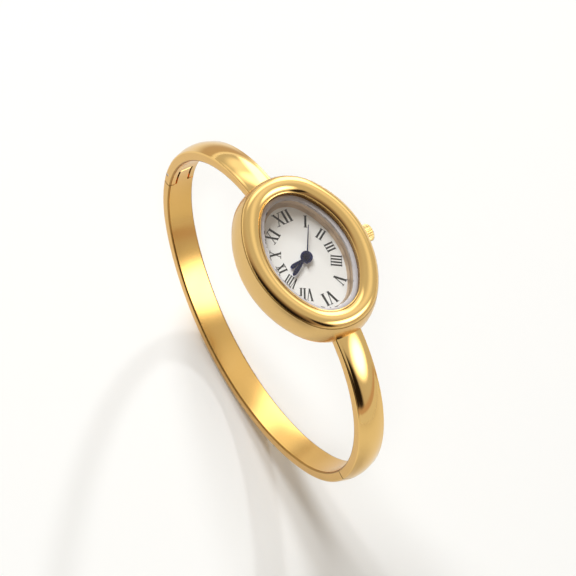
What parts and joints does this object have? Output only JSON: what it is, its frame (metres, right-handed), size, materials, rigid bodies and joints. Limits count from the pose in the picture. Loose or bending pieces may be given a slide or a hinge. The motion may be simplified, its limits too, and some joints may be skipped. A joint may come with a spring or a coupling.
{
  "type": "bangle watch",
  "caption": "Small oval quartz watch on a stiff oval bangle: hinged lower half, snap clasp, side crown, roman dial under flat glass.",
  "frame": {"origin": "centre of the case back's outer flat face, on the axis of the hands", "axes": "+Z out of the dial along the axis of the hands, +Y to 12 o'clock along the bangle's length, +X to 3 o'clock and the crown"},
  "size_m": [0.0245, 0.0622, 0.0537],
  "materials": {
    "gold_tone": "mirror polish, gold plated",
    "steel": "satin",
    "cell_steel": "bright",
    "blued_steel": "blued, bright",
    "dial_silver": "silvered, fine sunburst",
    "glass": "clear mineral glass",
    "seal_rubber": "matt",
    "gasket_plastic": "translucent white",
    "holder_plastic": "white",
    "board": "green laminate",
    "copper": "enamelled copper wire",
    "soft_iron": "plain",
    "train_brass": "fine brushed"
  },
  "bodies": {
    "case": {"bezel": "gold_tone", "mid_case": "gold_tone", "crystal": "glass", "crystal_gasket": "gasket_plastic", "rehaut_ring": "gold_tone", "dial": "dial_silver", "case_back": "steel", "back_gasket": "seal_rubber", "movement_holder": "holder_plastic", "main_plate": "train_brass", "train_bridge": "train_brass", "bridge_screws": "steel", "board_screws": "steel", "battery": "cell_steel", "battery_clip": "steel", "coil_core": "soft_iron", "coil": "copper", "stator": "soft_iron", "circuit_board": "board", "quartz_crystal": "cell_steel", "dial_washer": "steel", "crown_tube": "steel", "arm_dowels": "steel", "upper_arm": "gold_tone", "hinge_pin": "steel", "lower_arm": "gold_tone"},
    "lower_half": {"lower_band": "gold_tone", "clasp_tongue": "steel", "tongue_rivet": "steel"},
    "lever": {"setting_lever": "steel"},
    "crown_and_stem": {"crown": "gold_tone", "crown_gasket": "seal_rubber", "setting_stem": "steel"},
    "yoke": {"yoke": "steel"},
    "clutch": {"sliding_pinion": "steel"},
    "seconds": {"seconds_wheel": "train_brass", "seconds_pinion": "steel", "seconds_hand": "blued_steel"},
    "rotor": {"rotor": "soft_iron"},
    "intermediate": {"intermediate_wheel": "train_brass", "intermediate_pinion": "steel"},
    "third": {"third_wheel": "train_brass", "third_pinion": "steel"},
    "minutes": {"centre_wheel": "train_brass", "cannon_pinion": "train_brass", "minute_hand": "blued_steel"},
    "motion_work": {"minute_wheel": "train_brass", "minute_pinion": "train_brass"},
    "hours": {"hour_wheel": "train_brass", "hour_hand": "blued_steel"}
  },
  "joints": [
    {"name": "band_hinge", "type": "hinge", "parent": "case", "child": "lower_half", "pos_m": [0, 0.02995, -0.0216], "axis": [1, 0, 0], "range_deg": [0, 55]},
    {"name": "crown_pull", "type": "slide", "parent": "case", "child": "lever", "axis": [1, 0, 0], "range_m": [0, 0.0007]},
    {"name": "crown_turn", "type": "hinge", "parent": "lever", "child": "crown_and_stem", "pos_m": [0.0112, 0, 0.002], "axis": [1, 0, 0], "continuous": true},
    {"name": "yoke_slide", "type": "slide", "parent": "case", "child": "yoke", "axis": [-1, 0, 0], "range_m": [0, 0.00063]},
    {"name": "clutch_turn", "type": "hinge", "parent": "yoke", "child": "clutch", "pos_m": [0.0052, 0, 0.002], "axis": [1, 0, 0], "continuous": true},
    {"name": "seconds_turn", "type": "hinge", "parent": "case", "child": "seconds", "pos_m": [0, 0, 0.00434], "axis": [0, 0, -1], "continuous": true},
    {"name": "rotor_turn", "type": "hinge", "parent": "case", "child": "rotor", "pos_m": [0.00141, 0.00303, 0.0021], "axis": [0, 0, -1], "continuous": true},
    {"name": "intermediate_turn", "type": "hinge", "parent": "case", "child": "intermediate", "pos_m": [0.00084, 0.00145, 0.0012], "axis": [0, 0, -1], "continuous": true},
    {"name": "third_turn", "type": "hinge", "parent": "case", "child": "third", "pos_m": [-0.00187, 0.00108, 0.0018], "axis": [0, 0, -1], "continuous": true},
    {"name": "minute_turn", "type": "hinge", "parent": "case", "child": "minutes", "pos_m": [0, 0, 0.0041], "axis": [0, 0, -1], "continuous": true},
    {"name": "motion_work_turn", "type": "hinge", "parent": "case", "child": "motion_work", "pos_m": [0.0023, 0, 0.003], "axis": [0, 0, -1], "continuous": true},
    {"name": "hour_turn", "type": "hinge", "parent": "case", "child": "hours", "pos_m": [0, 0, 0.00386], "axis": [0, 0, -1], "continuous": true}
  ],
  "couplings": [
    {"joint": "yoke_slide", "follows": "crown_pull", "ratio": 0.9},
    {"joint": "clutch_turn", "follows": "crown_turn", "ratio": 1},
    {"joint": "rotor_turn", "follows": "seconds_turn", "ratio": 30},
    {"joint": "intermediate_turn", "follows": "seconds_turn", "ratio": -5},
    {"joint": "third_turn", "follows": "seconds_turn", "ratio": -0.13333},
    {"joint": "minute_turn", "follows": "seconds_turn", "ratio": 0.016667},
    {"joint": "motion_work_turn", "follows": "seconds_turn", "ratio": -0.0055556},
    {"joint": "hour_turn", "follows": "seconds_turn", "ratio": 0.0013889}
  ]
}
